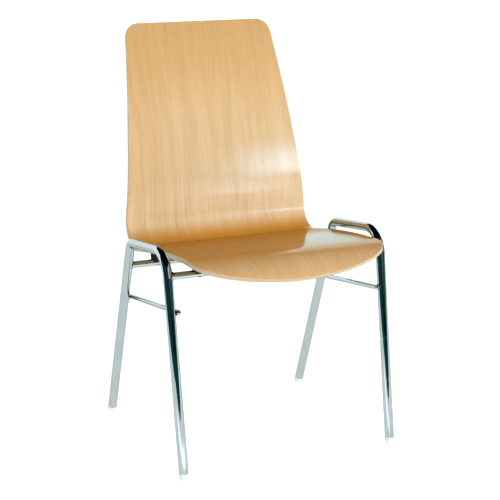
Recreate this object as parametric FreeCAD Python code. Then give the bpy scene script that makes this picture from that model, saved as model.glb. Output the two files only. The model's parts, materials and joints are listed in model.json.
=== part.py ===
import FreeCAD, Part
import os
from math import cos, hypot, pi, radians, sin, sqrt, tan

# Stacking chair: one moulded plywood shell on a chromed steel tube frame.
# Millimetres. +Z is up, the chair faces -Y and it stands on Z = 0.
# The origin is on the floor, at the middle of the overall width and depth.
# X = 0 is the plane of symmetry: what is on the right (+X) is mirrored for the left.

Vec = FreeCAD.Vector
os.makedirs("parts", exist_ok=True)

# ---------------------------------------------------------------- shell dimensions
# The shell's profile runs from the front lip back along the seat, round the bend and
# up the back, as arcs that meet tangentially. Each has its length along the upper
# face, and the slope that it ends with, in degrees above the rearward horizontal.
PROFILE_ARCS = (
    ("lip", 111.0, -3.5),
    ("seat", 283.0, -11.8),
    ("bend", 89.0, 92.6),
    ("lumbar", 99.0, 77.6),
    ("back", 335.0, 66.6),
)
LIP_HEIGHT = 411.5
LIP_SLOPE = 45.0
PLY_THICKNESS = 10.0
SHELL_WIDTH = 437.0
BACK_TOP_WIDTH = 348.0
BACK_CORNER_RADIUS = 34.0

# The front edge in the flat sheet is a superellipse, which reaches this far back.
FRONT_CURVE_LENGTH = 102.0
FRONT_CURVE_WIDTH = 438.0
FRONT_WIDTH_POWER = 1.76
FRONT_LENGTH_POWER = 2.72
FRONT_CURVE_STEPS = 8

# The blank is pressed oversize at both ends, and then trimmed across its thickness.
BLANK_MARGIN = 8.0
FRONT_TRIM_SLOPE = 20.0
BACK_TRIM_SLOPE = 72.0
TRIM_REACH = 60.0
TRIM_CLEAR = 40.0

# ---------------------------------------------------------------- frame dimensions
TUBE_DIAMETER = 20.0
TUBE_WALL = 2.0
FLOOR_HALF_WIDTH = 240.8
FRAME_LEAN = 0.53  # degrees: the side frames stand further apart at the top

# Corners of a side frame's centre line, as distance behind the lip and height.
FRONT_FOOT = (60.2, 0.0)
FRONT_CORNER = (134.6, 460.0)
REAR_CORNER = (342.9, 433.5)
REAR_FOOT = (505.8, 0.0)
FRONT_BEND_RADIUS = 55.0
REAR_BEND_RADIUS = 29.0

BAR_DIAMETER = 15.0
BAR_WALL = 1.5
FRONT_BAR_HEIGHT = 410.7
REAR_BAR_HEIGHT = 378.0

STRETCHER_DIAMETER = 10.5
STRETCHER_FRONT = (106.0, 338.8)
STRETCHER_REAR = (405.0, 297.4)
STRETCHER_END_ROUND = 4.0

# ---------------------------------------------------------------- fittings
GLIDE_DIAMETER = 20.6
GLIDE_HEIGHT = 11.0  # from the floor to the tube's end, along the leg
PLUG_LENGTH = 22.0
PLUG_CLEARANCE = 0.1

SPACER_DIAMETER = 28.0
SPACER_X = 176.0
SPACER_ABOVE_BAR_AXIS = 1.5

SCREW_DIAMETER = 5.0
SCREW_HOLE_DIAMETER = 5.5
SCREW_ENGAGEMENT = 6.5
SCREW_HEAD_DIAMETER = 10.0
SCREW_HEAD_RIM = 0.4
SOCKET_ACROSS_FLATS = 3.0
SOCKET_DEPTH = 1.8
INSERT_DIAMETER = 8.0
INSERT_LENGTH = 8.0
INSERT_BORE = 5.1


# ---------------------------------------------------------------- shell profile
def walk_profile():
    """Each arc as (start length, length, start slope, turn, y, z), from the lip at y = 0."""
    arcs = []
    start = 0.0
    y = 0.0
    z = LIP_HEIGHT
    slope = radians(LIP_SLOPE)
    for _name, length, end_degrees in PROFILE_ARCS:
        turn = radians(end_degrees) - slope
        arcs.append((start, length, slope, turn, y, z))
        radius = length / turn
        y += radius * (sin(slope + turn) - sin(slope))
        z -= radius * (cos(slope + turn) - cos(slope))
        slope += turn
        start += length
    overall_depth = y + PLY_THICKNESS * sin(slope)
    return arcs, start, overall_depth


ARCS, PROFILE_LENGTH, OVERALL_DEPTH = walk_profile()
LIP_Y = -OVERALL_DEPTH / 2
HALF_WIDTH = SHELL_WIDTH / 2
BEND_END = sum(length for _name, length, _slope in PROFILE_ARCS[:3])


def arc_point(arc, s, depth=0.0):
    """The point at length s along one arc and depth below the upper face."""
    start, length, slope, turn, y, z = arc
    radius = length / turn
    here = slope + (s - start) / radius
    y += radius * (sin(here) - sin(slope)) + depth * sin(here)
    z -= radius * (cos(here) - cos(slope)) + depth * cos(here)
    return Vec(0, LIP_Y + y, z)


def profile_point(s):
    """The point of the upper face at length s along the profile."""
    reached = [arc for arc in ARCS if arc[0] <= s]
    return arc_point(reached[-1], s)


def profile_edges(depth):
    """The blank's arcs at a depth below the upper face, from front to back."""
    edges = []
    for arc in ARCS:
        first = arc[0]
        last = arc[0] + arc[1]
        if arc is ARCS[0]:
            first -= BLANK_MARGIN
        if arc is ARCS[-1]:
            last += BLANK_MARGIN
        points = [arc_point(arc, s, depth) for s in (first, (first + last) / 2, last)]
        edges.append(Part.Arc(*points).toShape())
    return edges


# ---------------------------------------------------------------- shell
def front_half_width(s):
    """Half the width of the front curve at length s behind the lip's tip."""
    back = 1.0 - s / FRONT_CURVE_LENGTH
    across = (1.0 - back**FRONT_LENGTH_POWER) ** (1.0 / FRONT_WIDTH_POWER)
    return FRONT_CURVE_WIDTH / 2 * across


def pressed_blank():
    """The moulded sheet before trimming: the profile's section, drawn across the full width."""
    upper = profile_edges(0.0)
    lower = profile_edges(PLY_THICKNESS)
    front = Part.makeLine(lower[0].Vertexes[0].Point, upper[0].Vertexes[0].Point)
    back = Part.makeLine(upper[-1].Vertexes[-1].Point, lower[-1].Vertexes[-1].Point)
    section = Part.Face(Part.Wire(Part.__sortEdges__([front, *upper, back, *lower])))
    section.translate(Vec(-HALF_WIDTH, 0, 0))
    return section.extrude(Vec(SHELL_WIDTH, 0, 0))


def trim_prism(edges, slope):
    """A flat outline on a sloping plane, extruded both ways across that plane."""
    across = Vec(0, -sin(slope), cos(slope))
    face = Part.Face(Part.Wire(Part.__sortEdges__(edges)))
    face.translate(across * -TRIM_REACH)
    return face.extrude(across * (2 * TRIM_REACH))


def front_waste():
    """What the front curve takes off the blank."""
    slope = radians(FRONT_TRIM_SLOPE)
    tip = profile_point(0.0)
    along = Vec(0, cos(slope), sin(slope))

    def on_plane(x, s):
        distance = (profile_point(s) - tip).dot(along)
        return tip + along * distance + Vec(x, 0, 0)

    right = []
    for step in range(FRONT_CURVE_STEPS + 1):
        s = FRONT_CURVE_LENGTH * (1 - cos(pi / 2 * step / FRONT_CURVE_STEPS))
        right.append(on_plane(front_half_width(s), s))
    left = [Vec(-p.x, p.y, p.z) for p in right[1:]]
    curve = Part.BSplineCurve()
    curve.interpolate(
        Points=left[::-1] + right, InitialTangent=along * -1.0, FinalTangent=along
    )
    outer = Vec(HALF_WIDTH + TRIM_CLEAR, 0, 0)
    middle = on_plane(0, FRONT_CURVE_LENGTH)
    ahead = tip - along * TRIM_CLEAR
    corners = [right[-1], middle + outer, ahead + outer, ahead - outer, middle - outer, left[-1]]
    edges = [curve.toShape()]
    edges += [Part.makeLine(a, b) for a, b in zip(corners, corners[1:])]
    return trim_prism(edges, slope)


def back_waste():
    """What the tapered sides and the rounded top take off the blank."""
    slope = radians(BACK_TRIM_SLOPE)
    along = Vec(0, cos(slope), sin(slope))
    base = profile_point(BEND_END)
    height = (profile_point(PROFILE_LENGTH) - base).dot(along)
    top_half = BACK_TOP_WIDTH / 2
    taper = (HALF_WIDTH - top_half) / height
    lean = hypot(1.0, taper)

    # The corner's centre is its radius below the top and its radius inside the side.
    radius = BACK_CORNER_RADIUS
    centre_t = height - radius
    centre_x = top_half + taper * radius - radius * lean
    side_x = centre_x + radius / lean
    side_t = centre_t + radius * taper / lean
    middle_angle = (pi / 2 + taper) / 2

    def on_plane(x, t):
        return base + along * t + Vec(x, 0, 0)

    edges = []
    below = TRIM_CLEAR / 2
    outer = HALF_WIDTH + TRIM_CLEAR
    for side in (1, -1):
        foot = on_plane(side * (HALF_WIDTH + taper * below), -below)
        corner_start = on_plane(side * side_x, side_t)
        corner_middle = on_plane(
            side * (centre_x + radius * cos(middle_angle)),
            centre_t + radius * sin(middle_angle),
        )
        corner_end = on_plane(side * centre_x, height)
        edges.append(Part.makeLine(foot, corner_start))
        edges.append(Part.Arc(corner_start, corner_middle, corner_end).toShape())
        edges.append(Part.makeLine(foot, on_plane(side * outer, -below)))
        edges.append(
            Part.makeLine(on_plane(side * outer, -below), on_plane(side * outer, height + TRIM_CLEAR))
        )
    edges.append(Part.makeLine(on_plane(centre_x, height), on_plane(-centre_x, height)))
    edges.append(
        Part.makeLine(
            on_plane(outer, height + TRIM_CLEAR), on_plane(-outer, height + TRIM_CLEAR)
        )
    )
    return trim_prism(edges, slope)


# ---------------------------------------------------------------- side frames
def frame_point(behind_lip, height, inward=0.0):
    """A point of the right side frame's leaning plane, or beside it towards the seat."""
    lean = radians(FRAME_LEAN)
    x = FLOOR_HALF_WIDTH + height * sin(lean) - inward * cos(lean)
    return Vec(x, LIP_Y + behind_lip, height * cos(lean) + inward * sin(lean))


def rounded_path(points, radii):
    """Straight runs joined by arcs, tangent at both ends of each arc."""
    edges = []
    start = points[0]
    for before, corner, after, radius in zip(points, points[1:], points[2:], radii):
        towards = (before - corner).normalize()
        onwards = (after - corner).normalize()
        half_turn = towards.getAngle(onwards) / 2
        setback = radius / tan(half_turn)
        middle = (towards + onwards).normalize()
        first = corner + towards * setback
        last = corner + onwards * setback
        crown = corner + middle * (radius / sin(half_turn) - radius)
        edges.append(Part.makeLine(start, first))
        edges.append(Part.Arc(first, crown, last).toShape())
        start = last
    edges.append(Part.makeLine(start, points[-1]))
    return Part.Wire(edges)


def leg_run(foot, corner):
    """The foot's point on the floor, the tube's end above it, and the leg's direction."""
    floor = frame_point(*foot)
    up = (frame_point(*corner) - floor).normalize()
    return floor, floor + up * GLIDE_HEIGHT, up


def swept_round(path, diameter):
    """A round bar along a path."""
    first = path.Edges[0]
    start = first.valueAt(first.FirstParameter)
    direction = first.tangentAt(first.FirstParameter)
    circle = Part.Wire(Part.makeCircle(diameter / 2, start, direction))
    return path.makePipeShell([circle], True, False)


def side_frame_solids():
    """The right side frame as an outer bar and the bore that makes a tube of it."""
    _floor, front_end, _up = leg_run(FRONT_FOOT, FRONT_CORNER)
    _floor, rear_end, _up = leg_run(REAR_FOOT, REAR_CORNER)
    points = [front_end, frame_point(*FRONT_CORNER), frame_point(*REAR_CORNER), rear_end]
    path = rounded_path(points, (FRONT_BEND_RADIUS, REAR_BEND_RADIUS))
    outside = swept_round(path, TUBE_DIAMETER)
    bore = swept_round(path, TUBE_DIAMETER - 2 * TUBE_WALL)
    return outside, bore


def stretcher():
    """The round-ended rod between the right legs, on the side towards the seat."""
    inward = (TUBE_DIAMETER + STRETCHER_DIAMETER) / 2
    front = frame_point(*STRETCHER_FRONT, inward)
    rear = frame_point(*STRETCHER_REAR, inward)
    run = rear - front
    rod = Part.makeCylinder(STRETCHER_DIAMETER / 2, run.Length, front, run)
    rims = [edge for edge in rod.Edges if edge.isClosed()]
    return rod.makeFillet(STRETCHER_END_ROUND, rims)


def glide(foot, corner):
    """A plastic foot that plugs into the tube's end, cut flat where it stands."""
    floor, tube_end, up = leg_run(foot, corner)
    sleeve = Part.makeCylinder(GLIDE_DIAMETER / 2, 2 * GLIDE_HEIGHT, tube_end, -up)
    bore_radius = TUBE_DIAMETER / 2 - TUBE_WALL
    plug = Part.makeCylinder(bore_radius - PLUG_CLEARANCE, PLUG_LENGTH, tube_end, up)
    size = 6 * GLIDE_DIAMETER
    underfloor = Part.makeBox(size, size, size, Vec(floor.x - size / 2, floor.y - size / 2, -size))
    return sleeve.fuse(plug).cut(underfloor).removeSplitter()


# ---------------------------------------------------------------- cross bars and seat fixing
def leg_axis_behind_lip(foot, corner, height):
    """How far behind the lip a leg's centre line is at a height."""
    return foot[0] + (corner[0] - foot[0]) * height / corner[1]


def bar_centre(end):
    """The centre of the front or rear cross bar, on the plane of symmetry."""
    if end == "front":
        behind = leg_axis_behind_lip(FRONT_FOOT, FRONT_CORNER, FRONT_BAR_HEIGHT)
        return Vec(0, LIP_Y + behind, FRONT_BAR_HEIGHT)
    behind = leg_axis_behind_lip(REAR_FOOT, REAR_CORNER, REAR_BAR_HEIGHT)
    return Vec(0, LIP_Y + behind, REAR_BAR_HEIGHT)


def bar_solid(end, diameter):
    """A round bar from one side frame's centre line to the other's."""
    half_length = FLOOR_HALF_WIDTH + sin(radians(FRAME_LEAN)) * bar_centre(end).z
    start = bar_centre(end) - Vec(half_length, 0, 0)
    return Part.makeCylinder(diameter / 2, 2 * half_length, start, Vec(1, 0, 0))


class SeatFixing:
    """One fixing point: the screw's axis stands square to the seat and crosses the bar."""

    def __init__(self, end):
        start, length, slope, turn, y, z = ARCS[1]
        radius = length / turn
        seat_centre = Vec(0, LIP_Y + y - radius * sin(slope), z + radius * cos(slope))
        out = bar_centre(end) - seat_centre
        self.bar = bar_centre(end) + Vec(SPACER_X, 0, 0)
        self.seat_distance = abs(radius) - PLY_THICKNESS - out.Length
        self.up = out.normalize()

    def cylinder(self, diameter, low, high):
        """A round piece on the screw's axis, between two distances above the bar's centre."""
        return Part.makeCylinder(diameter / 2, high - low, self.bar + self.up * low, self.up)


def spacer(fixing, bar, shell):
    """A round pad, saddled on the bar and shaped to the underside of the seat."""
    body = fixing.cylinder(
        SPACER_DIAMETER, SPACER_ABOVE_BAR_AXIS, fixing.seat_distance + PLY_THICKNESS / 2
    )
    hole = fixing.cylinder(SCREW_HOLE_DIAMETER, -BAR_DIAMETER, 2 * fixing.seat_distance)
    return body.cut(bar).cut(shell).cut(hole)


def insert(fixing, shell):
    """A threaded sleeve, flush in the underside of the seat."""
    sleeve = fixing.cylinder(
        INSERT_DIAMETER, fixing.seat_distance - 1.0, fixing.seat_distance + INSERT_LENGTH
    )
    bore = fixing.cylinder(INSERT_BORE, 0.0, 2 * fixing.seat_distance)
    return sleeve.common(shell).cut(bore)


def screw_head(fixing):
    """A countersunk head, flush with the lowest line of the bar."""
    rim_low = -BAR_DIAMETER / 2
    rim_high = rim_low + SCREW_HEAD_RIM
    rim = fixing.cylinder(SCREW_HEAD_DIAMETER, rim_low, rim_high)
    cone = Part.makeCone(
        SCREW_HEAD_DIAMETER / 2,
        SCREW_DIAMETER / 2,
        (SCREW_HEAD_DIAMETER - SCREW_DIAMETER) / 2,
        fixing.bar + fixing.up * rim_high,
        fixing.up,
    )
    return rim.fuse(cone)


def screw(fixing):
    """A countersunk socket screw, from under the bar into the insert."""
    low = -BAR_DIAMETER / 2
    shank = fixing.cylinder(SCREW_DIAMETER, low, fixing.seat_distance + SCREW_ENGAGEMENT)
    base = fixing.bar + fixing.up * low
    side = Vec(1, 0, 0)
    other = fixing.up.cross(side)
    radius = SOCKET_ACROSS_FLATS / sqrt(3)
    corners = []
    for index in range(7):
        angle = pi / 3 * index
        corners.append(base + side * (radius * cos(angle)) + other * (radius * sin(angle)))
    socket = Part.Face(Part.makePolygon(corners)).extrude(fixing.up * SOCKET_DEPTH)
    return shank.fuse(screw_head(fixing)).cut(socket).removeSplitter()


# ---------------------------------------------------------------- assembly
def mirrored(shape):
    """The same piece on the other side of the plane of symmetry."""
    return shape.mirror(Vec(0, 0, 0), Vec(1, 0, 0))


def save(node, shape):
    """Write one node, after checking that it is made of sound solids."""
    if not shape.Solids or not shape.isValid():
        raise RuntimeError(node + " is not a sound solid")
    if len(shape.Solids) == 1:
        shape = shape.Solids[0]
    shape.exportStep("parts/" + node + ".step")
    print(node, len(shape.Solids), "solid,", round(shape.Volume), "mm3")


def save_pair(node, right):
    """Write a piece for both sides."""
    save(node + "_right", right)
    save(node + "_left", mirrored(right))


def build_frame():
    """Side frames, stretchers, glides and coped cross bars."""
    outside, bore = side_frame_solids()
    save_pair("side_frame", outside.cut(bore))
    save_pair("stretcher", stretcher())
    save_pair("glide_front", glide(FRONT_FOOT, FRONT_CORNER))
    save_pair("glide_rear", glide(REAR_FOOT, REAR_CORNER))
    for end in ("front", "rear"):
        tube = bar_solid(end, BAR_DIAMETER).cut(bar_solid(end, BAR_DIAMETER - 2 * BAR_WALL))
        tube = tube.cut(outside).cut(mirrored(outside))
        fixing = SeatFixing(end)
        hole = fixing.cylinder(SCREW_HOLE_DIAMETER, -BAR_DIAMETER, BAR_DIAMETER)
        hole = hole.fuse(screw_head(fixing))
        save("cross_bar_" + end, tube.cut(hole).cut(mirrored(hole)))


def build_seat():
    """The trimmed shell, and at each fixing point its spacer, insert and screw."""
    shell = pressed_blank().cut(front_waste()).cut(back_waste()).removeSplitter()
    drilled = shell
    for end in ("front", "rear"):
        fixing = SeatFixing(end)
        bar = bar_solid(end, BAR_DIAMETER)
        save_pair("spacer_" + end, spacer(fixing, bar, shell))
        save_pair("insert_" + end, insert(fixing, shell))
        save_pair("screw_" + end, screw(fixing))
        hole = fixing.cylinder(
            INSERT_DIAMETER, fixing.seat_distance - 1.0, fixing.seat_distance + INSERT_LENGTH
        )
        drilled = drilled.cut(hole).cut(mirrored(hole))
    save("seat_shell", drilled)


build_frame()
build_seat()
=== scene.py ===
import json
from math import atan2, cos, hypot, pi, radians, sin, sqrt

import bpy
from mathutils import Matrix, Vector
from mathutils.geometry import delaunay_2d_cdt


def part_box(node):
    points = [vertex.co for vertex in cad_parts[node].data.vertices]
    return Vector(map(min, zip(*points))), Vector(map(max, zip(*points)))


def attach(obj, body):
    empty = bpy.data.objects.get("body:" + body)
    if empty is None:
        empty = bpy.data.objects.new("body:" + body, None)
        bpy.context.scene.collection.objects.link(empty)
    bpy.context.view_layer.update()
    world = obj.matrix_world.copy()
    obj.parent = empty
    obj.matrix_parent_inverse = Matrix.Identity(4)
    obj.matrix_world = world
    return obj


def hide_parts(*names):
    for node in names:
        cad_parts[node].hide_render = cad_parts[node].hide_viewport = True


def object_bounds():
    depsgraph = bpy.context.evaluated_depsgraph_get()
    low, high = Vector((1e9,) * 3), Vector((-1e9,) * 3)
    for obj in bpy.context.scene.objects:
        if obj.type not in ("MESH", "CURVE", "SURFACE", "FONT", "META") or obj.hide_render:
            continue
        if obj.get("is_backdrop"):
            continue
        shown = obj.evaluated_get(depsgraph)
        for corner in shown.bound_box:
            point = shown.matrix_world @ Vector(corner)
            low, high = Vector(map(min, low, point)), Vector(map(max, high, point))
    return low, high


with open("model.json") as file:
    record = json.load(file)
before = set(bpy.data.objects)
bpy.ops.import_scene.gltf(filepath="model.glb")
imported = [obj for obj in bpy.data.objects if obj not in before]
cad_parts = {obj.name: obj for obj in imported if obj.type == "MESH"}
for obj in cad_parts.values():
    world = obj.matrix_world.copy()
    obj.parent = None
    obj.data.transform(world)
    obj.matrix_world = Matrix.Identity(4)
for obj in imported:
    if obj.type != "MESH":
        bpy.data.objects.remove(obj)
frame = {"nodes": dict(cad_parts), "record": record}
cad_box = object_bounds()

# Stacking chair: moulded beech plywood on a chromed tube frame. Metres, in the CAD's frame.

# ---------------------------------------------------------------- shell dimensions
# The profile's arcs, as in the CAD: length along the upper face, and the slope at the end.
PROFILE_ARCS = (
    (0.111, -3.5),  # lip
    (0.283, -11.8),  # seat
    (0.089, 92.6),  # bend
    (0.099, 77.6),  # lumbar
    (0.335, 66.6),  # back
)
LIP_HEIGHT = 0.4115
LIP_SLOPE = 45.0
LIP_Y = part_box("seat_shell")[0][1]
PLY_THICKNESS = 0.010
HALF_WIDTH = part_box("seat_shell")[1][0]
TOP_HALF_WIDTH = 0.174
CORNER_RADIUS = 0.034
WAIST_RADIUS = 0.45
FRONT_CURVE_LENGTH = 0.102
FRONT_WIDTH_POWER = 1.76
FRONT_LENGTH_POWER = 2.72
EDGE_ROUND = 0.0012
FRONT_STEPS = 240
ARC_STEPS = 40
EDGE_STEPS = 5
OUTLINE_STEP = 0.002
GRID_STEP_ACROSS = 0.009
GRID_STEP_ALONG = 0.004
GRID_MARGIN = 0.6 * GRID_STEP_ALONG
MERGE_DISTANCE = 1e-7
EDGE_REACH = 0.02  # beyond this, the distance to the cut edge makes no difference
FACE_SLOT = 0
EDGE_SLOT = 1

# ---------------------------------------------------------------- frame dimensions
# Centre lines of the legs, as in the CAD: (distance behind the lip, height).
FRONT_FOOT = (0.0602, 0.0)
FRONT_CORNER = (0.1346, 0.460)
REAR_CORNER = (0.3429, 0.4335)
REAR_FOOT = (0.5058, 0.0)
FLOOR_HALF_WIDTH = 0.2408
FRAME_LEAN = radians(0.53)
TUBE_RADIUS = 0.010

# ---------------------------------------------------------------- weld dimensions
WELD_RADIUS = 0.0017
WELD_RIPPLE = 0.16
WELD_STAND_OFF = 0.4 * WELD_RADIUS
BAR_WELD_STEPS = 56
BAR_WELD_PITCH = 4
STRETCHER_WELD_STEPS = 14
STRETCHER_WELD_PITCH = 3
STRETCHER_WELD_REACH = 0.0055
STRETCHER_WELD_SPREAD = 0.72  # of the rod's radius, outwards and up or down
STRETCHER_WELD_SIZE = 0.95
STRETCHER_WELD_TIP = 0.25
CROSSING_PASSES = 6
BEAD_SIDES = 10
BEAD_TWIST = Vector((0.31, 0.87, 0.39))  # any direction that no bead runs along


# ---------------------------------------------------------------- node helpers
def new_material(name):
    """An empty node material, its tree and its output node."""
    material = bpy.data.materials.new(name)
    material.use_nodes = True
    tree = material.node_tree
    tree.nodes.clear()
    return material, tree, tree.nodes.new("ShaderNodeOutputMaterial")


def feed(tree, socket, value):
    """Link a socket to the input, or set the input to a constant."""
    if isinstance(value, bpy.types.NodeSocket):
        tree.links.new(value, socket)
    else:
        socket.default_value = value


def texture(tree, kind, vector, scale, output="Fac", **inputs):
    """A procedural texture on a coordinate."""
    node = tree.nodes.new(kind)
    feed(tree, node.inputs["Vector"], vector)
    feed(tree, node.inputs["Scale"], scale)
    for name, value in inputs.items():
        feed(tree, node.inputs[name], value)
    return node.outputs[output]


def noise(tree, vector, scale, detail=2.0, rough=0.5):
    """Smooth noise from 0 to 1."""
    return texture(tree, "ShaderNodeTexNoise", vector, scale, Detail=detail, Roughness=rough)


def stretched(tree, vector, scale):
    """A coordinate scaled by a different number along each axis."""
    node = tree.nodes.new("ShaderNodeMapping")
    feed(tree, node.inputs["Vector"], vector)
    node.inputs["Scale"].default_value = scale
    return node.outputs["Vector"]


def calculate(tree, operation, first, second=0.0):
    """One arithmetic step."""
    node = tree.nodes.new("ShaderNodeMath")
    node.operation = operation
    for socket, value in zip(node.inputs, (first, second)):
        feed(tree, socket, value)
    return node.outputs[0]


def plus(tree, first, second):
    """Two values added."""
    return calculate(tree, "ADD", first, second)


def minus(tree, first, second):
    """One value less another."""
    return calculate(tree, "SUBTRACT", first, second)


def times(tree, first, second):
    """Two values multiplied."""
    return calculate(tree, "MULTIPLY", first, second)


def remap(tree, value, low, high, to_low=0.0, to_high=1.0):
    """A value taken smoothly from one range to another."""
    node = tree.nodes.new("ShaderNodeMapRange")
    node.interpolation_type = "SMOOTHSTEP"
    for socket, number in zip(node.inputs, (value, low, high, to_low, to_high)):
        feed(tree, socket, number)
    return node.outputs[0]


def blend(tree, factor, first, second):
    """Two colours mixed by a factor."""
    node = tree.nodes.new("ShaderNodeMix")
    node.data_type = "RGBA"
    feed(tree, node.inputs["Factor"], factor)
    # Inputs 6 and 7 and output 2 are the node's colours.
    feed(tree, node.inputs[6], first)
    feed(tree, node.inputs[7], second)
    return node.outputs[2]


def bump(tree, height, distance, strength, normal=None):
    """A surface normal tilted by a height."""
    node = tree.nodes.new("ShaderNodeBump")
    node.inputs["Strength"].default_value = strength
    node.inputs["Distance"].default_value = distance
    feed(tree, node.inputs["Height"], height)
    if normal is not None:
        feed(tree, node.inputs["Normal"], normal)
    return node.outputs["Normal"]


def attribute(tree, name):
    """A number stored on the mesh."""
    node = tree.nodes.new("ShaderNodeAttribute")
    node.attribute_name = name
    return node.outputs["Fac"]


def object_position(tree):
    """The place on the object, in metres."""
    return tree.nodes.new("ShaderNodeTexCoord").outputs["Object"]


def split_axes(tree, vector):
    """A coordinate's numbers, one for each axis."""
    node = tree.nodes.new("ShaderNodeSeparateXYZ")
    tree.links.new(vector, node.inputs[0])
    return node.outputs


def join_axes(tree, first, second):
    """A flat coordinate made of two numbers."""
    node = tree.nodes.new("ShaderNodeCombineXYZ")
    feed(tree, node.inputs[0], first)
    feed(tree, node.inputs[1], second)
    return node.outputs[0]


def flat_noise(tree, vector, per_metre, detail=2.0, rough=0.5):
    """Smooth noise on a flat coordinate, with so many features per metre along each axis."""
    return noise(tree, stretched(tree, vector, (*per_metre, 1.0)), 1.0, detail, rough)


def principled(tree, output, **inputs):
    """The surface shader, with its inputs set or linked."""
    node = tree.nodes.new("ShaderNodeBsdfPrincipled")
    for name, value in inputs.items():
        feed(tree, node.inputs[name.replace("_", " ")], value)
    tree.links.new(node.outputs["BSDF"], output.inputs["Surface"])


def grey(level):
    """A neutral colour."""
    return (level, level, level, 1.0)


# ---------------------------------------------------------------- beech veneer and plywood
# The cream, pale, honey and amber tones are painted light and shade laid along the sheet; the other
# tones are the veneer's own.
BEECH_PAINTED_LIGHT_CREAM = (0.785, 0.65, 0.465, 1.0)
BEECH_PAINTED_LIGHT_PALE = (0.68, 0.51, 0.31, 1.0)
BEECH_LIGHT = (0.655, 0.435, 0.215, 1.0)
BEECH_PINK = (0.64, 0.40, 0.18, 1.0)
BEECH_PAINTED_SHADE_HONEY = (0.775, 0.40, 0.08, 1.0)
BEECH_PAINTED_SHADE_AMBER = (0.71, 0.33, 0.036, 1.0)
BEECH_BACK = (0.58, 0.43, 0.27, 1.0)
BEECH_LINE = (0.49, 0.275, 0.10, 1.0)
BEECH_FLECK = (0.36, 0.19, 0.085, 1.0)
# Painted light and shade that take over one after another from the lip upwards: start, end, colour,
# share.
PAINTED_LIGHT_AND_SHADE_ALONG = (
    (-0.01, 0.00, BEECH_PAINTED_LIGHT_CREAM, 0.3),
    (0.04, 0.12, BEECH_PAINTED_SHADE_AMBER, 0.9),
    (0.25, 0.38, BEECH_PAINTED_SHADE_HONEY, 0.9),
    (0.418, 0.474, BEECH_PAINTED_LIGHT_CREAM, 1.0),
    (0.49, 0.58, BEECH_PAINTED_LIGHT_PALE, 0.9),
    (0.66, 0.84, BEECH_LIGHT, 0.8),
)
# Features of the veneer's figure per metre: (across, along) the grain.
DRIFT_PER_METRE = (5.0, 1.1)
PATCHES_PER_METRE = (16.0, 2.2)
WANDER_PER_METRE = (5.0, 2.4)
STREAKS_PER_METRE = (46.0, 2.4)
RING_FIELD_PER_METRE = (7.5, 0.85)
RINGS_CLEAR_PER_METRE = (9.0, 1.5)
FIBRES_PER_METRE = (420.0, 7.0)
FLECKS_PER_METRE = (800.0, 170.0)
FLECK_GROUPS_PER_METRE = (150.0, 40.0)
# How much of its own tone each feature takes on at its clearest.
MOTTLE_SHARE = 0.22
STREAK_SHARE = 0.18
RING_SHARE = 0.1
FIBRE_SHARE = 0.38
FLECK_SHARE = 0.38
FLECK_DEPTH = 0.8  # against the fibres' height
GRAIN_WANDER = 0.06  # metres from side to side, at most
RING_PHASE = 170.0  # radians of rings between the field's lowest and highest value

# The lacquer's weight on the seat and on the back, and where along the sheet it changes.
LACQUER_ON_SEAT = 0.36
LACQUER_ON_BACK = 0.65
LACQUER_CHANGE = (0.36, 0.54)
# A band that a sitter has rubbed thinner: where each of its edges goes from untouched to rubbed.
RUBBED_FROM = (0.45, 0.475)
RUBBED_UNTIL = (0.515, 0.49)
RUBBED_AWAY = 0.3
# Slow swells in the surface, per metre across and along the sheet.
SWELL_PER_METRE = (20.0, 9.0)
# The veneer is worn pale beside the cut edge, over this width.
WEAR_WIDTH = 0.007
WEAR_PALENESS = 0.25
WEAR_ROUGHNESS = 0.15

PLY_CREAM = (0.68, 0.52, 0.33, 1.0)
PLY_END_GRAIN = (0.50, 0.35, 0.20, 1.0)
PLY_GLUE = (0.33, 0.20, 0.10, 1.0)
PLY_LAYERS = 9
PLY_WAVE_DEPTH = 0.0003
GLUE_SHARE = 0.55
GLUE_DEPTH = -0.6
# Features of the cut edge per metre: (along it, through the plies).
PLY_WAVES_PER_METRE = (30.0, 0.0)
LONG_GRAIN_PER_METRE = (60.0, 3500.0)
END_GRAIN_PER_METRE = (2600.0, 2600.0)


def beech_tones(tree, sheet, along):
    """The veneer's ground colour, mottled, with painted light and shade changing along the sheet."""
    drift = flat_noise(tree, sheet, DRIFT_PER_METRE)
    patches = flat_noise(tree, sheet, PATCHES_PER_METRE, 3.0)
    mottle = plus(tree, times(tree, drift, 0.6), times(tree, patches, 0.4))
    colour = blend(tree, remap(tree, mottle, 0.36, 0.64), BEECH_LIGHT, BEECH_PINK)
    # Painted light keeps the lip pale, painted shade makes the seat amber and honey towards the bend,
    # painted light makes the lumbar's foot palest, and painted shade darkens it again up the back.
    for low, high, shade, share in PAINTED_LIGHT_AND_SHADE_ALONG:
        colour = blend(tree, remap(tree, along, low, high, 0.0, share), colour, shade)
    # The mottle shows through that painted light and shade as a faint pink.
    colour = blend(tree, remap(tree, mottle, 0.44, 0.64, 0.0, MOTTLE_SHARE), colour, BEECH_PINK)
    # The under face has the mottle alone, with no change along the sheet.
    under = remap(tree, attribute(tree, "depth"), 0.3 * PLY_THICKNESS, 0.7 * PLY_THICKNESS)
    return blend(tree, under, colour, blend(tree, mottle, BEECH_BACK, BEECH_LIGHT))


def wandering_grain(tree, sheet, across, along):
    """The sheet's coordinate, with a grain that wanders a few degrees off its length."""
    wander = minus(tree, flat_noise(tree, sheet, WANDER_PER_METRE, 1.0), 0.5)
    return join_axes(tree, plus(tree, across, times(tree, wander, GRAIN_WANDER)), along)


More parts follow.
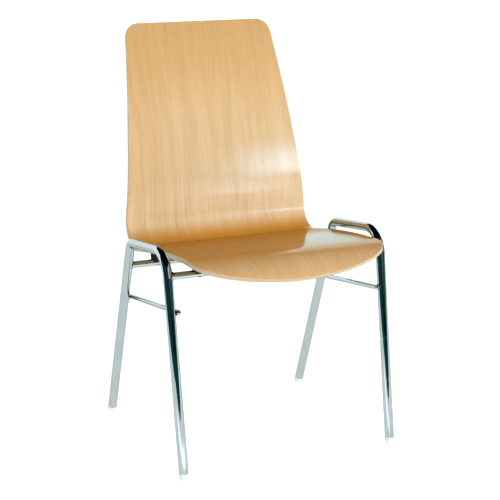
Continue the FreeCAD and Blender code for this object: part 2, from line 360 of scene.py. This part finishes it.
def beech_colour(tree, sheet):
    """Colour and fibre height of rotary-cut beech; sheet is (across, along) the grain."""
    across, along = split_axes(tree, sheet)[:2]
    colour = beech_tones(tree, sheet, along)
    grain = wandering_grain(tree, sheet, across, along)

    # Soft streaks of darker wood run along the grain.
    streaks = flat_noise(tree, grain, STREAKS_PER_METRE, 3.0, 0.6)
    colour = blend(tree, remap(tree, streaks, 0.36, 0.66, 0.0, STREAK_SHARE), colour, BEECH_LINE)

    # Growth rings show as the contour lines of a slow, long-stretched field, clearer in places.
    field = flat_noise(tree, grain, RING_FIELD_PER_METRE, 1.5, 0.4)
    rings = remap(tree, calculate(tree, "SINE", times(tree, field, RING_PHASE)), -0.4, 1.0)
    clear = flat_noise(tree, sheet, RINGS_CLEAR_PER_METRE)
    ring_lines = times(tree, rings, remap(tree, clear, 0.4, 0.7, 0.0, RING_SHARE))
    colour = blend(tree, ring_lines, colour, BEECH_LINE)

    # Fibres are fine and long; flecks are short, dark and sparse.
    fibres = flat_noise(tree, grain, FIBRES_PER_METRE, 3.0, 0.6)
    colour = blend(tree, remap(tree, fibres, 0.45, 0.85, 0.0, FIBRE_SHARE), colour, BEECH_LINE)
    cells = texture(
        tree, "ShaderNodeTexVoronoi", stretched(tree, sheet, (*FLECKS_PER_METRE, 1.0)), 1.0, "Distance",
        Randomness=1.0,
    )
    groups = flat_noise(tree, sheet, FLECK_GROUPS_PER_METRE, 1.0)
    flecks = times(tree, remap(tree, cells, 0.34, 0.12), remap(tree, groups, 0.45, 0.6))
    colour = blend(tree, times(tree, flecks, FLECK_SHARE), colour, BEECH_FLECK)
    return colour, minus(tree, fibres, times(tree, flecks, FLECK_DEPTH))


def lacquered_beech():
    """The face veneer under a clear gloss lacquer."""
    material, tree, output = new_material("lacquered_beech")
    uv_map = tree.nodes.new("ShaderNodeUVMap")
    uv_map.uv_map = "sheet"
    sheet = uv_map.outputs["UV"]
    colour, fibre_height = beech_colour(tree, sheet)
    # Handling has worn the veneer pale along the cut edge.
    wear = remap(tree, attribute(tree, "edge_distance"), WEAR_WIDTH, 0.0)
    colour = blend(tree, times(tree, wear, WEAR_PALENESS), colour, PLY_CREAM)
    # The lacquer is thinner on the seat than on the back, and rubbed where a sitter slides down.
    along = split_axes(tree, sheet)[1]
    rubbed = times(tree, remap(tree, along, *RUBBED_FROM), remap(tree, along, *RUBBED_UNTIL))
    whole = remap(tree, along, *LACQUER_CHANGE, LACQUER_ON_SEAT, LACQUER_ON_BACK)
    lacquer = minus(tree, whole, times(tree, rubbed, RUBBED_AWAY))
    fibre_rough = remap(tree, fibre_height, 0.2, 0.8, 0.36, 0.5)
    swell = flat_noise(tree, sheet, SWELL_PER_METRE, 1.0)
    normal = bump(tree, swell, 0.0004, 0.35)
    normal = bump(tree, fibre_height, 0.00006, 0.5, normal)
    principled(
        tree, output,
        Base_Color=colour,
        Roughness=plus(tree, fibre_rough, times(tree, wear, WEAR_ROUGHNESS)),
        Normal=normal, Coat_Normal=normal,
        Specular_IOR_Level=0.0, Coat_Weight=lacquer, Coat_IOR=1.5, Coat_Roughness=0.14,
    )
    return material


def plywood_edge():
    """The cut edge: thin crossed plies, glue lines and open end grain, under lacquer."""
    material, tree, output = new_material("plywood_edge")
    depth = attribute(tree, "depth")
    place = join_axes(tree, attribute(tree, "along"), depth)
    waves = flat_noise(tree, place, PLY_WAVES_PER_METRE)
    wavy_depth = plus(tree, depth, times(tree, waves, PLY_WAVE_DEPTH))
    ply = times(tree, wavy_depth, PLY_LAYERS / PLY_THICKNESS)
    odd = calculate(tree, "MODULO", calculate(tree, "FLOOR", ply), 2.0)
    off_middle = minus(tree, calculate(tree, "FRACT", ply), 0.5)
    glue = remap(tree, calculate(tree, "ABSOLUTE", off_middle), 0.43, 0.49)
    long_grain = flat_noise(tree, place, LONG_GRAIN_PER_METRE, 3.0)
    end_grain = flat_noise(tree, place, END_GRAIN_PER_METRE, 3.0, 0.7)
    cream = blend(tree, remap(tree, long_grain, 0.4, 0.75, 0.0, 0.4), PLY_CREAM, PLY_END_GRAIN)
    brown = blend(tree, remap(tree, end_grain, 0.3, 0.7), PLY_CREAM, PLY_END_GRAIN)
    colour = blend(tree, odd, cream, brown)
    colour = blend(tree, times(tree, glue, GLUE_SHARE), colour, PLY_GLUE)
    pores = plus(tree, times(tree, end_grain, odd), times(tree, glue, GLUE_DEPTH))
    principled(
        tree, output,
        Base_Color=colour,
        Roughness=remap(tree, end_grain, 0.2, 0.8, 0.34, 0.55),
        Normal=bump(tree, pores, 0.00015, 0.5),
        Coat_Weight=0.5, Coat_Roughness=0.22,
    )
    return material


# ---------------------------------------------------------------- metal and plastic
def chrome():
    """Bright chrome plate with a faint orange peel, hairlines and dull water marks."""
    material, tree, output = new_material("chrome")
    clean = (0.45, 0.52, 0.525, 1.0)
    marked = (0.49, 0.55, 0.55, 1.0)
    place = object_position(tree)
    peel = noise(tree, place, 160.0, 2.0)
    hairlines = noise(tree, stretched(tree, place, (1500.0, 1500.0, 60.0)), 1.0, 2.0)
    marks = noise(tree, place, 38.0, 5.0, 0.65)
    mark_rough = remap(tree, marks, 0.5, 0.75, 0.035, 0.11)
    normal = bump(tree, peel, 0.00006, 0.35)
    principled(
        tree, output,
        Base_Color=blend(tree, remap(tree, marks, 0.35, 0.7), clean, marked),
        Metallic=1.0,
        Specular_Tint=(0.7, 0.72, 0.74, 1.0),
        Roughness=plus(tree, mark_rough, times(tree, hairlines, 0.02)),
        Normal=bump(tree, hairlines, 0.00001, 0.3, normal),
    )
    return material


def weld_metal():
    """A plated weld: chrome that is duller and grainier than the tubes'."""
    material, tree, output = new_material("chromed_weld")
    grain = noise(tree, object_position(tree), 900.0, 3.0)
    principled(
        tree, output,
        Base_Color=blend(tree, grain, (0.44, 0.50, 0.51, 1.0), (0.52, 0.58, 0.58, 1.0)),
        Metallic=1.0,
        Roughness=remap(tree, grain, 0.3, 0.7, 0.10, 0.26),
        Normal=bump(tree, grain, 0.0002, 0.5),
    )
    return material


def black_polyamide():
    """Moulded black plastic with a fine spark-eroded grain, some dust and rubbed, paler edges."""
    material, tree, output = new_material("black_polyamide")
    black = (0.012, 0.012, 0.013, 1.0)
    place = object_position(tree)
    grain = noise(tree, place, 1400.0, 3.0)
    dust = noise(tree, place, 70.0, 4.0, 0.6)
    geometry = tree.nodes.new("ShaderNodeNewGeometry")
    rubbed = remap(tree, geometry.outputs["Pointiness"], 0.53, 0.62, 0.0, 0.5)
    colour = blend(tree, remap(tree, dust, 0.45, 0.8, 0.0, 0.5), black, grey(0.05))
    principled(
        tree, output,
        Base_Color=blend(tree, rubbed, colour, grey(0.09)),
        Roughness=remap(tree, grain, 0.3, 0.7, 0.5, 0.7),
        Specular_IOR_Level=0.12,
        Normal=bump(tree, grain, 0.00012, 0.4),
    )
    return material


def glide_polyethylene():
    """Milky translucent plastic, scuffed grey towards the floor."""
    material, tree, output = new_material("glide_polyethylene")
    milky = (0.86, 0.90, 0.90, 1.0)
    dirty = (0.40, 0.39, 0.37, 1.0)
    place = object_position(tree)
    height = split_axes(tree, place)[2]
    scuff = noise(tree, stretched(tree, place, (260.0, 260.0, 90.0)), 1.0, 4.0, 0.65)
    near_floor = remap(tree, height, 0.004, 0.0)
    dirt = times(tree, times(tree, scuff, near_floor), 0.8)
    principled(
        tree, output,
        Base_Color=blend(tree, dirt, milky, dirty),
        Roughness=remap(tree, scuff, 0.3, 0.7, 0.24, 0.48),
        Normal=bump(tree, scuff, 0.0002, 0.4),
        Subsurface_Weight=0.35, Subsurface_Radius=(0.004, 0.005, 0.005),
        Transmission_Weight=0.25, IOR=1.5,
    )
    return material


def zinc_plate(name, tint, dull):
    """Zinc-plated fasteners, with a patchy bloom and turned marks."""
    material, tree, output = new_material(name)
    place = object_position(tree)
    turned = noise(tree, stretched(tree, place, (300.0, 300.0, 2600.0)), 1.0, 2.0)
    bloom = noise(tree, place, 240.0, 4.0, 0.6)
    paler = tuple(min(1.0, channel * 1.25) for channel in tint[:3]) + (1.0,)
    principled(
        tree, output,
        Base_Color=blend(tree, remap(tree, bloom, 0.35, 0.7), tint, paler),
        Metallic=1.0,
        Roughness=remap(tree, bloom, 0.3, 0.7, dull, dull + 0.15),
        Normal=bump(tree, turned, 0.00005, 0.4),
    )
    return material


# ---------------------------------------------------------------- shell geometry
def walk_profile():
    """Each arc as (start length, length, start slope, radius, y, z), and the whole length."""
    arcs = []
    start = 0.0
    y = LIP_Y
    z = LIP_HEIGHT
    slope = radians(LIP_SLOPE)
    for length, end_degrees in PROFILE_ARCS:
        turn = radians(end_degrees) - slope
        radius = length / turn
        arcs.append((start, length, slope, radius, y, z))
        y += radius * (sin(slope + turn) - sin(slope))
        z -= radius * (cos(slope + turn) - cos(slope))
        slope += turn
        start += length
    return arcs, start


ARCS, PROFILE_LENGTH = walk_profile()
BEND_END = ARCS[3][0]  # where the lumbar's arc starts


def shell_point(x, s, depth):
    """Where a place on the flat sheet lies on the moulded shell, and the upper face's normal."""
    arc = [a for a in ARCS if a[0] <= max(s, 0.0)][-1]
    start, _length, slope, radius, y, z = arc
    here = slope + (s - start) / radius
    y += radius * (sin(here) - sin(slope)) + depth * sin(here)
    z -= radius * (cos(here) - cos(slope)) + depth * cos(here)
    return Vector((x, y, z)), Vector((0.0, -sin(here), cos(here)))


def half_outline():
    """The right half of the flat sheet's outline, densely, from the lip's tip to the top's middle."""
    points = []
    for step in range(FRONT_STEPS + 1):
        angle = pi / 2 * step / FRONT_STEPS
        x = HALF_WIDTH * sin(angle) ** (2 / FRONT_WIDTH_POWER)
        s = FRONT_CURVE_LENGTH * (1 - max(cos(angle), 0.0) ** (2 / FRONT_LENGTH_POWER))
        points.append((x, s))

    # The straight side turns into the back's taper through one long arc.
    taper = atan2(HALF_WIDTH - TOP_HALF_WIDTH, PROFILE_LENGTH - BEND_END)
    setback = WAIST_RADIUS * sin(taper) / (1 + cos(taper))
    waist = BEND_END - setback
    for step in range(ARC_STEPS + 1):
        angle = taper * step / ARC_STEPS
        x = HALF_WIDTH - WAIST_RADIUS * (1 - cos(angle))
        points.append((x, waist + WAIST_RADIUS * sin(angle)))

    # The corner's centre is one radius inside the tapered side and below the top.
    centre_s = PROFILE_LENGTH - CORNER_RADIUS
    side_x = TOP_HALF_WIDTH + CORNER_RADIUS * sin(taper) / cos(taper)
    centre_x = side_x - CORNER_RADIUS / cos(taper)
    for step in range(ARC_STEPS + 1):
        angle = taper + (pi / 2 - taper) * step / ARC_STEPS
        points.append((centre_x + CORNER_RADIUS * cos(angle), centre_s + CORNER_RADIUS * sin(angle)))
    points.append((0.0, PROFILE_LENGTH))
    return points


def resampled(points, step):
    """Points at an even spacing along a polyline, without its last point."""
    lengths = [0.0]
    for (x0, s0), (x1, s1) in zip(points, points[1:]):
        lengths.append(lengths[-1] + hypot(x1 - x0, s1 - s0))
    count = round(lengths[-1] / step)
    result = []
    index = 0
    for number in range(count):
        target = lengths[-1] * number / count
        while lengths[index + 1] < target:
            index += 1
        span = max(lengths[index + 1] - lengths[index], 1e-12)  # two points may coincide
        share = (target - lengths[index]) / span
        x0, s0 = points[index]
        x1, s1 = points[index + 1]
        result.append((x0 + (x1 - x0) * share, s0 + (s1 - s0) * share))
    return result


def outline_with_normals():
    """The closed outline, anticlockwise in (x, s), with its outward unit normals."""
    right = half_outline()
    left = [(-x, s) for x, s in reversed(right)]
    loop = resampled(right + left[1:], OUTLINE_STEP)
    normals = []
    for index in range(len(loop)):
        x0, s0 = loop[index - 1]
        x1, s1 = loop[(index + 1) % len(loop)]
        length = hypot(x1 - x0, s1 - s0)
        normals.append(((s1 - s0) / length, -(x1 - x0) / length))
    return loop, normals


def edge_section():
    """The rounded edge from the upper face to the under face: (inset, depth, outward, upward)."""
    section = []
    for step in range(EDGE_STEPS + 1):
        angle = pi / 2 * step / EDGE_STEPS
        inset = EDGE_ROUND * (1 - sin(angle))
        depth = EDGE_ROUND * (1 - cos(angle))
        section.append((inset, depth, sin(angle), cos(angle)))
    flat = PLY_THICKNESS - 2 * EDGE_ROUND
    section.append((0.0, EDGE_ROUND + flat / 2, 1.0, 0.0))
    for inset, depth, outward, upward in reversed(section[:-1]):
        section.append((inset, PLY_THICKNESS - depth, outward, -upward))
    return section


def face_triangles(ring):
    """A closed ring's points and then grid points inside it, and triangles over them all."""
    points = [Vector(p) for p in ring]
    rows = int(PROFILE_LENGTH / GRID_STEP_ALONG)
    for row in range(1, rows):
        s = PROFILE_LENGTH * row / rows
        crossings = []
        for (x0, s0), (x1, s1) in zip(ring, ring[1:] + ring[:1]):
            if (s0 - s) * (s1 - s) < 0:
                crossings.append(abs(x0 + (x1 - x0) * (s - s0) / (s1 - s0)))
        if not crossings:
            continue
        reach = min(crossings) - GRID_MARGIN
        columns = max(1, int(2 * reach / GRID_STEP_ACROSS))
        for column in range(columns + 1):
            points.append(Vector((reach * (2 * column / columns - 1), s)))
    count = len(ring)
    rim = [(index, (index + 1) % count) for index in range(count)]
    only_inside = 1
    placed, _edges, faces, *_origins = delaunay_2d_cdt(points, rim, [], only_inside, MERGE_DISTANCE)
    return [(p.x, p.y) for p in placed], faces


def rim_vertices(loop, normals, section):
    """The rim, ring by ring: vertices as (place, normal, sheet place, depth, along, distance)."""
    vertices = []
    for inset, depth, outward, upward in section:
        for index, ((x, s), (nx, ns)) in enumerate(zip(loop, normals)):
            x_in = x - nx * inset
            s_in = s - ns * inset
            place, up = shell_point(x_in, s_in, depth)
            along_profile = Vector((0.0, up.z, -up.y))
            side = Vector((nx, 0.0, 0.0)) + along_profile * ns
            normal = side * outward + up * upward
            vertices.append((place, normal, (x_in, s_in), depth, index * OUTLINE_STEP, 0.0))
    return vertices


def face_vertices(inner, depth, upward):
    """The vertices inside a face's rim, with the same values as the rim's."""
    vertices = []
    for x, s in inner:
        place, up = shell_point(x, s, depth)
        # Measured from the sheet's full width: past that, only the rim itself counts as edge.
        distance = min(HALF_WIDTH - abs(x), EDGE_REACH)
        vertices.append((place, up * upward, (x, s), depth, 0.0, distance))
    return vertices


def shell_faces(triangles, count, rings, inner_count):
    """Triangles over both faces and quads round the rim, and the material slot of each."""
    upper_inner = rings * count
    under_inner = upper_inner + inner_count
    last_ring = (rings - 1) * count
    faces = []
    for ring_start, inner_start, flip in ((0, upper_inner, False), (last_ring, under_inner, True)):
        for triangle in triangles:
            corners = [ring_start + i if i < count else inner_start + i - count for i in triangle]
            faces.append(corners[::-1] if flip else corners)
    slots = [FACE_SLOT] * len(faces)
    for band in range(rings - 1):
        for index in range(count):
            here = band * count + index
            beside = band * count + (index + 1) % count
            faces.append((here, here + count, beside + count, beside))
            slots.append(EDGE_SLOT)
    return faces, slots


def build_shell(face_material, edge_material):
    """The moulded shell as one closed mesh, with the sheet's coordinates for its grain."""
    loop, normals = outline_with_normals()
    section = edge_section()
    count = len(loop)
    vertices = rim_vertices(loop, normals, section)
    ring = [sheet_place for _place, _normal, sheet_place, *_rest in vertices[:count]]
    placed, triangles = face_triangles(ring)
    inner = placed[count:]
    vertices += face_vertices(inner, 0.0, 1.0)
    vertices += face_vertices(inner, PLY_THICKNESS, -1.0)
    places, directions, sheet, depths, alongs, distances = zip(*vertices)
    faces, slots = shell_faces(triangles, count, len(section), len(inner))

    mesh = bpy.data.meshes.new("seat_and_back")
    mesh.from_pydata(places, [], faces)
    mesh.materials.append(face_material)
    mesh.materials.append(edge_material)
    mesh.polygons.foreach_set("material_index", slots)
    mesh.polygons.foreach_set("use_smooth", [True] * len(faces))
    layer = mesh.uv_layers.new(name="sheet")
    for corner in mesh.loops:
        layer.data[corner.index].uv = sheet[corner.vertex_index]
    for name, values in (("depth", depths), ("along", alongs), ("edge_distance", distances)):
        mesh.attributes.new(name, "FLOAT", "POINT").data.foreach_set("value", values)
    mesh.normals_split_custom_set_from_vertices([d.normalized() for d in directions])
    shell = bpy.data.objects.new("seat_and_back", mesh)
    bpy.context.collection.objects.link(shell)
    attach(shell, "root")
    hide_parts("seat_shell")
    return shell


# ---------------------------------------------------------------- welds
def leg_point(foot, corner, height):
    """A point on the right leg's centre line."""
    share = height / corner[1]
    behind = foot[0] + (corner[0] - foot[0]) * share
    x = FLOOR_HALF_WIDTH + height * sin(FRAME_LEAN)
    return Vector((x, LIP_Y + behind, height))


def leg_direction(foot, corner):
    """The way a leg points upwards, seen from the side."""
    return Vector((0.0, corner[0] - foot[0], corner[1])).normalized()


def bead(name, path, radii, closed, material):
    """A round bead of weld metal along a path."""
    vertices = []
    count = len(path)
    for index, point in enumerate(path):
        before = path[index - 1] if closed or index > 0 else point
        after = path[(index + 1) % count] if closed or index < count - 1 else point
        forward = (after - before).normalized()
        across = forward.cross(BEAD_TWIST).normalized()
        other = forward.cross(across)
        for side in range(BEAD_SIDES):
            angle = 2 * pi * side / BEAD_SIDES
            vertices.append(point + (across * cos(angle) + other * sin(angle)) * radii[index])
    faces = []
    for index in range(count if closed else count - 1):
        here = index * BEAD_SIDES
        there = (index + 1) % count * BEAD_SIDES
        for side in range(BEAD_SIDES):
            turn = (side + 1) % BEAD_SIDES
            faces.append((here + side, here + turn, there + turn, there + side))
    if not closed:
        faces.append(tuple(range(BEAD_SIDES))[::-1])
        faces.append(tuple(range((count - 1) * BEAD_SIDES, count * BEAD_SIDES)))
    mesh = bpy.data.meshes.new(name)
    mesh.from_pydata(vertices, [], faces)
    mesh.materials.append(material)
    mesh.polygons.foreach_set("use_smooth", [True] * len(faces))
    weld = bpy.data.objects.new(name, mesh)
    bpy.context.collection.objects.link(weld)
    smoother = weld.modifiers.new("smooth", "SUBSURF")
    smoother.levels = 1
    smoother.render_levels = 1
    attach(weld, "root")


def ripple(index, pitch):
    """The bead's radius, which swells and narrows once in every pitch of steps."""
    return WELD_RADIUS * (1.0 + WELD_RIPPLE * sin(2 * pi * index / pitch))


def bar_welds(bar, foot, corner, material):
    """The fillet where a cross bar's coped end meets each leg."""
    low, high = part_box(bar)
    radius = (high[2] - low[2]) / 2
    centre_z = (low[2] + high[2]) / 2
    axis_point = leg_point(foot, corner, centre_z)
    leg = leg_direction(foot, corner)
    square = Vector((0.0, leg.z, -leg.y))
    radii = [ripple(step, BAR_WELD_PITCH) for step in range(BAR_WELD_STEPS)]
    for side_name, side in (("right", 1), ("left", -1)):
        path = []
        for step in range(BAR_WELD_STEPS):
            angle = 2 * pi * step / BAR_WELD_STEPS
            offset = Vector((0.0, cos(angle), sin(angle))) * (radius + WELD_STAND_OFF)
            off_leg = offset.dot(square)
            reach = sqrt(max(TUBE_RADIUS**2 - off_leg**2, 0.0)) + WELD_STAND_OFF
            x = side * (axis_point.x - reach)
            path.append(Vector((x, axis_point.y + offset.y, centre_z + offset.z)))
        bead(f"weld_{bar}_{side_name}", path, radii, True, material)


def short_bead(centre, run):
    """The path and radii of a short bead that thins towards its ends."""
    path = []
    radii = []
    for step in range(STRETCHER_WELD_STEPS + 1):
        share = 2 * step / STRETCHER_WELD_STEPS - 1
        path.append(centre + run * share * STRETCHER_WELD_REACH)
        swell = max(STRETCHER_WELD_TIP, sqrt(max(1 - share**2, 0.0)))
        radii.append(ripple(step, STRETCHER_WELD_PITCH) * swell * STRETCHER_WELD_SIZE)
    return path, radii


def stretcher_welds(material):
    """Short beads above and below each crossing of a stretcher and a leg."""
    low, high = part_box("stretcher_right")
    front = Vector((0.0, low[1], high[2]))
    rear = Vector((0.0, high[1], low[2]))
    run = (rear - front).normalized()
    rod_radius = (high[0] - low[0]) / 2
    weld_x = (low[0] + high[0]) / 2 + STRETCHER_WELD_SPREAD * rod_radius
    for end, foot, corner in (("front", FRONT_FOOT, FRONT_CORNER), ("rear", REAR_FOOT, REAR_CORNER)):
        # The leg and the rod both slope, so the height of their crossing is found step by step.
        height = (low[2] + high[2]) / 2
        for _pass in range(CROSSING_PASSES):
            crossing = leg_point(foot, corner, height)
            height = front.z - rod_radius + (crossing.y - front.y) * run.z / run.y
        leg_up = leg_direction(foot, corner)
        for level_name, level in (("upper", 1), ("lower", -1)):
            lift = leg_up * level * rod_radius * STRETCHER_WELD_SPREAD
            for side_name, side in (("right", 1), ("left", -1)):
                path, radii = short_bead(Vector((side * weld_x, crossing.y, height)) + lift, run)
                bead(f"weld_stretcher_{end}_{level_name}_{side_name}", path, radii, False, material)


# ---------------------------------------------------------------- CAD nodes
EDGE_ROUNDING = {"glide": 0.0008, "spacer": 0.0010, "screw": 0.0004}


def dress_nodes(materials):
    """Give each CAD node its finish, and soften the sharp edges of the small fittings."""
    slots = {row["node"]: row["material_slot"] for row in frame["record"]["subparts"]}
    for name, node in frame["nodes"].items():
        if name == "seat_shell":
            continue
        material = materials[slots[name]]
        for material_slot in node.material_slots:
            material_slot.link = "OBJECT"
            material_slot.material = material
        kind = name.split("_")[0]
        if kind in EDGE_ROUNDING:
            bevel = node.modifiers.new("soft_edges", "BEVEL")
            bevel.width = EDGE_ROUNDING[kind]
            bevel.segments = 3
            bevel.limit_method = "ANGLE"
            bevel.angle_limit = radians(40)
            bevel.harden_normals = True


# ---------------------------------------------------------------- studio
CAMERA_PLACE = (-1.238, -2.726, 1.161)
CAMERA_AZIMUTH = 24.55
CAMERA_PITCH = 14.16
CAMERA_LENS = 102.2
SKY_STRENGTH = 1.1
FLOOR_LOW = (-1.9, -2.3)
FLOOR_HIGH = (30.0, 30.0)
FLOOR_PAINT = 0.2
FLOOR_GLOW = 0.72
POOL_HEIGHT = 0.001
ROOM_GLOW = (0.018, 0.085, 0.088, 1.0)
KEY_GLOW = (5.0, 10.0, 14.5, 1.0)
SPILL_GLOW = (3.4, 4.6, 6.8, 1.0)
FLAG_GLOW = (0.05, 0.19, 0.2, 1.0)
SHEEN_COLOUR = (0.35, 1.4, 1.8)
CARD_COLUMNS = 36
CARD_ROWS = 18
FILL_TARGET = (0.0, 0.0, 0.55)
# Soft lights ahead of the chair and to its side, each with its place and radiance.
FILLS = (
    ("fill_low", (-1.2, -2.6, 0.7), 2.7),
    ("fill_high", (-0.4, -1.7, 2.4), 2.7),
    ("fill_side", (2.2, -1.8, 1.0), 3.0),
)


def add_camera():
    """The photograph's viewpoint."""
    data = bpy.data.cameras.new("camera")
    data.lens = CAMERA_LENS
    data.sensor_width = 36.0
    camera = bpy.data.objects.new("camera", data)
    camera.location = CAMERA_PLACE
    camera.rotation_euler = (radians(90 - CAMERA_PITCH), 0.0, radians(-CAMERA_AZIMUTH))
    bpy.context.collection.objects.link(camera)
    bpy.context.scene.camera = camera


def stage_mesh(name, vertices, faces, paint, glow, shares=None):
    """A plain surface of the studio: it scatters light by its paint and glows by itself."""
    material, tree, output = new_material(name)
    mesh = bpy.data.meshes.new(name)
    mesh.from_pydata(vertices, [], faces)
    strength = 1.0
    if shares is not None:
        mesh.attributes.new("glow", "FLOAT", "POINT").data.foreach_set("value", shares)
        strength = attribute(tree, "glow")
    principled(
        tree, output,
        Base_Color=paint, Roughness=0.9, Specular_IOR_Level=0.0,
        Emission_Color=glow, Emission_Strength=strength,
    )
    mesh.materials.append(material)
    surface = bpy.data.objects.new(name, mesh)
    bpy.context.collection.objects.link(surface)
    surface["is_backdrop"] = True
    return surface


def dome_point(radius, azimuth, elevation):
    """A point of the studio round the chair; azimuth 0 is straight ahead of the chair."""
    a = radians(azimuth)
    e = radians(elevation)
    return Vector((radius * sin(a) * cos(e), -radius * cos(a) * cos(e), radius * sin(e)))


def window(share, soft):
    """1 in the middle of a range, falling smoothly to 0 over its soft ends."""
    ramp = min(1.0, min(share, 1.0 - share) / soft)
    return ramp * ramp * (3.0 - 2.0 * ramp)


def studio_card(name, place, glow, soft=0.0, least=0.0):
    """A card of points place(across, up), unseen by the camera; its edges fade to a least share."""
    vertices = []
    shares = []
    for row in range(CARD_ROWS + 1):
        for column in range(CARD_COLUMNS + 1):
            across = column / CARD_COLUMNS
            up = row / CARD_ROWS
            vertices.append(place(across, up))
            if soft:
                shares.append(least + (1.0 - least) * window(across, soft) * window(up, soft))
    faces = []
    for row in range(CARD_ROWS):
        for column in range(CARD_COLUMNS):
            here = row * (CARD_COLUMNS + 1) + column
            above = here + CARD_COLUMNS + 1
            faces.append((here, here + 1, above + 1, above))
    card = stage_mesh(name, vertices, faces, grey(0.0), glow, shares or None)
    card.visible_camera = False
    return card


def dome_card(name, distance, azimuths, elevations, glow, soft=0.0, least=0.0):
    """A card on a sphere round the chair, over a range of azimuths and elevations in degrees."""
    def place(across, up):
        azimuth = azimuths[0] + (azimuths[1] - azimuths[0]) * across
        elevation = elevations[0] + (elevations[1] - elevations[0]) * up
        return dome_point(distance, azimuth, elevation)

    return studio_card(name, place, glow, soft, least)


def floor_pool(name, low, high, glow, soft, least):
    """A pool of light just above the floor."""
    def place(across, up):
        x = low[0] + (high[0] - low[0]) * across
        y = low[1] + (high[1] - low[1]) * up
        return Vector((x, y, POOL_HEIGHT))

    return studio_card(name, place, glow, soft, least)


def add_softbox(name, place, target, width, height, radiance):
    """A rectangular soft light of an even radiance."""
    data = bpy.data.lights.new(name, "AREA")
    data.shape = "RECTANGLE"
    data.size = width
    data.size_y = height
    data.energy = radiance * pi * width * height
    lamp = bpy.data.objects.new(name, data)
    lamp.location = place
    lamp.rotation_euler = (Vector(target) - Vector(place)).to_track_quat("-Z", "Y").to_euler()
    bpy.context.collection.objects.link(lamp)
    return lamp


def add_sky():
    """An even white sky."""
    world = bpy.data.worlds.new("studio_sky")
    bpy.context.scene.world = world
    world.use_nodes = True
    background = world.node_tree.nodes["Background"]
    background.inputs["Color"].default_value = grey(1.0)
    background.inputs["Strength"].default_value = SKY_STRENGTH


def add_floor():
    """A white floor, which glows by itself and also takes a little shadow."""
    left, front = FLOOR_LOW
    right, back = FLOOR_HIGH
    corners = [(left, front, 0.0), (right, front, 0.0), (right, back, 0.0), (left, back, 0.0)]
    stage_mesh("floor", corners, [(0, 1, 2, 3)], grey(FLOOR_PAINT), grey(FLOOR_GLOW))


def add_accents(shell):
    """Lights that show only as reflections; the key, its spill and the sheen only on the shell."""
    lit_by_key = bpy.data.collections.new("lit_by_key")
    lit_by_key.objects.link(shell)
    key = dome_card("key", 3.9, (25, 41), (8, 24.5), KEY_GLOW, soft=0.24, least=0.06)
    spill = dome_card("key_spill", 3.92, (21.5, 30), (-5, 15), SPILL_GLOW, soft=0.4, least=0.08)
    # The flag hangs in front of the key and hides a lower corner of it.
    flag = dome_card("key_flag", 3.85, (29.2, 60), (-25, 13.2), FLAG_GLOW)
    pool = floor_pool("pool", (-1.3, -1.2), (0.4, -0.3), grey(1.4), soft=0.3, least=0.55)
    sheen = add_softbox(
        "sheen", (0.6, 3.8, 1.6), target=(0.0, 0.0, 0.5), width=7.5, height=2.6, radiance=1.0
    )
    sheen.data.color = SHEEN_COLOUR
    for accent in (key, spill, sheen):
        accent.light_linking.receiver_collection = lit_by_key
    for accent in (key, spill, flag, pool, sheen):
        accent.visible_diffuse = False


def add_studio(shell):
    """A white floor and sky, a dark room ahead and overhead, and soft lights."""
    add_sky()
    add_floor()
    dome_card("dark_room", 4.0, (-115, 105), (-30, 40), ROOM_GLOW)
    dome_card("dark_ceiling", 4.0, (-180, 180), (40, 90), grey(0.01))
    add_accents(shell)
    dome_card("bounce", 3.95, (-15, 85), (3, 52), grey(0.9), soft=0.3)
    for name, place, radiance in FILLS:
        fill = add_softbox(name, place, FILL_TARGET, width=2.0, height=1.2, radiance=radiance)
        fill.visible_glossy = False


def main():
    """Build every piece, dress it and light it."""
    materials = {
        "chromed_steel": chrome(),
        "black_plastic": black_polyamide(),
        "glide_plastic": glide_polyethylene(),
        "zinc_steel": zinc_plate("zinc_screw", (0.55, 0.57, 0.60, 1.0), 0.2),
        "insert_steel": zinc_plate("zinc_insert", (0.50, 0.50, 0.47, 1.0), 0.3),
    }
    shell = build_shell(lacquered_beech(), plywood_edge())
    dress_nodes(materials)
    weld = weld_metal()
    bar_welds("cross_bar_front", FRONT_FOOT, FRONT_CORNER, weld)
    bar_welds("cross_bar_rear", REAR_FOOT, REAR_CORNER, weld)
    stretcher_welds(weld)
    add_studio(shell)
    add_camera()


main()
bpy.context.scene.view_settings.view_transform = "Standard"
bpy.context.scene.view_settings.look = "High Contrast"

boxes = {"cad": cad_box, "visual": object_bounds()}
{name: [list(corner) for corner in box] for name, box in boxes.items()}
